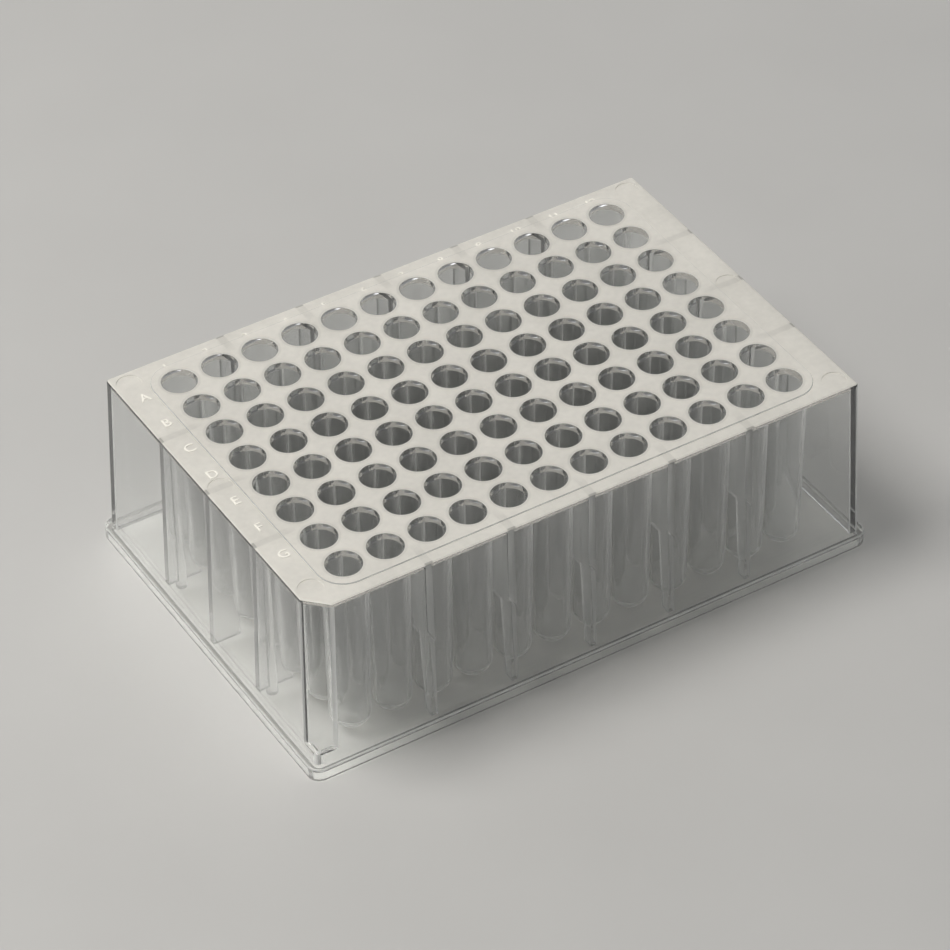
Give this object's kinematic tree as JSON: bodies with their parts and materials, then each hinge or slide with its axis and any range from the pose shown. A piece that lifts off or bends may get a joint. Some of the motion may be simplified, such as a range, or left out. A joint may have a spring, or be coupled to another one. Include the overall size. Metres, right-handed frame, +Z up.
{
  "type": "deep well plate",
  "caption": "Clear rectangular laboratory plate with a grid of deep round-bottomed wells under a flat frosted deck, ribbed side walls, a notched corner and a stepped foot flange.",
  "frame": {"origin": "centre of the footprint, in the plane of the flange's underside", "axes": "+X along the rows from column 1 to column 12, +Y across them towards row A, +Z up out of the wells"},
  "size_m": [0.1278, 0.0854, 0.0406],
  "materials": {
    "clear_polymer": "clear and glossy, with a frosted deck"
  },
  "bodies": {
    "root": {"plate": "clear_polymer"}
  },
  "joints": []
}
